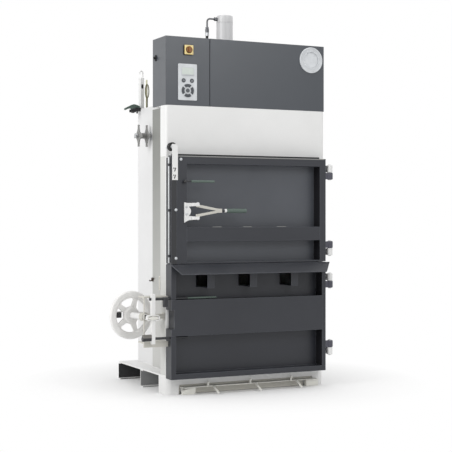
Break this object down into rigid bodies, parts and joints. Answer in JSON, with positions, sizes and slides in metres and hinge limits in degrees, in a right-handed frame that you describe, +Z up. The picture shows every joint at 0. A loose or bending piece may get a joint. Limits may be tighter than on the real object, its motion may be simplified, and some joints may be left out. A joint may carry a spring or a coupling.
{
  "type": "recycling baler",
  "caption": "Upright recycling baler with a press chamber behind two side-hung doors, a handwheel door lock, a hood with a control panel and a vertical hydraulic ram.",
  "frame": {"origin": "on the floor at the middle of the base, under the middle cross beam", "axes": "+X to the right seen from the front, +Y to the back, +Z up"},
  "size_m": [1.2539, 0.863, 2.095],
  "materials": {
    "white_paint": "satin light grey-white powder coat",
    "grey_paint": "satin anthracite powder coat",
    "zinc_steel": "zinc-plated steel",
    "chromed_steel": "polished piston rod",
    "green_grip": "dark green moulded plastic",
    "black_plastic": "black moulded plastic",
    "black_rubber": "black rubber",
    "light_plastic": "light grey plastic",
    "dark_keys": "dark membrane keys",
    "yellow_plastic": "yellow switch plate",
    "switch_plastic": "brown-red switch knob",
    "olive_paint": "olive green paint"
  },
  "bodies": {
    "frame": {"column_left": "white_paint", "column_right": "white_paint", "side_wall_left": "white_paint", "side_post_left": "white_paint", "side_wall_right": "white_paint", "rear_wall": "white_paint", "upper_panel": "white_paint", "base_front_beam": "white_paint", "base_plate": "white_paint", "base_middle_beam": "white_paint", "base_rear_beam": "white_paint", "step_rail": "white_paint", "lock_bracket": "white_paint", "rear_post": "white_paint", "cylinder": "white_paint", "crosshead": "white_paint", "frame_hinges": "white_paint", "chamber_floor": "grey_paint", "control_cabinet": "grey_paint", "hood_cover": "grey_paint", "power_unit": "grey_paint", "spindle_housing": "zinc_steel", "roller_axle": "zinc_steel", "reel_axle": "zinc_steel", "release_bracket": "black_plastic", "hydraulic_hose": "black_rubber", "mains_inlet": "black_rubber", "control_panel": "light_plastic", "round_badge": "light_plastic", "control_keys": "dark_keys", "switch_plate": "yellow_plastic", "cable_hanger": "olive_paint"},
    "upper_door": {"upper_door_frame": "grey_paint", "upper_door_ribs": "grey_paint", "upper_door_hinges": "grey_paint", "catch_plate": "white_paint", "fork_bracket": "white_paint"},
    "lower_door": {"lower_door_frame": "grey_paint", "lower_door_ribs": "grey_paint", "lower_door_lip": "grey_paint", "lower_door_hinges": "grey_paint", "lock_crossbar": "white_paint", "lock_rods": "black_plastic", "lower_grip": "green_grip"},
    "latch_handle": {"latch_lever": "black_plastic", "latch_grip": "green_grip"},
    "upright_rod": {"upright_lock_rod": "zinc_steel"},
    "fork_handle": {"fork_arms": "zinc_steel", "fork_grip": "green_grip"},
    "wheel": {"handwheel": "white_paint", "spindle": "zinc_steel", "crank_mount": "black_plastic"},
    "wheel_knob": {"crank_knob": "black_plastic"},
    "main_switch": {"switch_knob": "switch_plastic"},
    "ram": {"piston_rod": "chromed_steel", "press_platen": "grey_paint"},
    "reel": {"star_reel": "zinc_steel"},
    "roller": {"door_roller": "black_rubber"},
    "release": {"release_lever": "green_grip"}
  },
  "joints": [
    {"name": "upper_door_hinge", "type": "hinge", "parent": "frame", "child": "upper_door", "pos_m": [0.485, -0.425, 1], "axis": [0, 0, 1], "range_deg": [0, 120]},
    {"name": "lower_door_hinge", "type": "hinge", "parent": "frame", "child": "lower_door", "pos_m": [0.485, -0.425, 0.4], "axis": [0, 0, 1], "range_deg": [0, 120]},
    {"name": "latch_lever_pivot", "type": "hinge", "parent": "upper_door", "child": "latch_handle", "pos_m": [-0.407, -0.45, 1.136], "axis": [0, 1, 0], "range_deg": [0, 35]},
    {"name": "upright_rod_slide", "type": "slide", "parent": "upper_door", "child": "upright_rod", "axis": [0, 0, 1], "range_m": [0, 0.028]},
    {"name": "fork_handle_pivot", "type": "hinge", "parent": "upper_door", "child": "fork_handle", "pos_m": [-0.342, -0.457, 0.981], "axis": [0, 0, -1], "range_deg": [0, 100]},
    {"name": "handwheel_turn", "type": "hinge", "parent": "frame", "child": "wheel", "pos_m": [-0.622, -0.203, 0.42], "axis": [0.1564, -0.9877, 0], "range_deg": [0, 90]},
    {"name": "crank_knob_spin", "type": "hinge", "parent": "wheel", "child": "wheel_knob", "pos_m": [-0.69706, -0.21489, 0.425], "axis": [0.1564, -0.9877, 0], "continuous": true},
    {"name": "main_switch_turn", "type": "hinge", "parent": "frame", "child": "main_switch", "pos_m": [-0.355, -0.366, 1.842], "axis": [0, -1, 0], "range_deg": [0, 90]},
    {"name": "ram_stroke", "type": "slide", "parent": "frame", "child": "ram", "axis": [0, 0, -1], "range_m": [0, 0.59]},
    {"name": "star_reel_spin", "type": "hinge", "parent": "frame", "child": "reel", "pos_m": [-0.42, 0.133, 1.411], "axis": [1, 0, 0], "continuous": true},
    {"name": "door_roller_spin", "type": "hinge", "parent": "frame", "child": "roller", "pos_m": [-0.474, -0.42, 1.318], "axis": [0, 1, 0], "continuous": true},
    {"name": "release_lever_pivot", "type": "hinge", "parent": "frame", "child": "release", "pos_m": [-0.412, 0.3, 1.578], "axis": [0, 1, 0], "range_deg": [0, 60]}
  ],
  "couplings": [
    {"joint": "upright_rod_slide", "follows": "latch_lever_pivot", "m_per_rad": 0.0458}
  ]
}
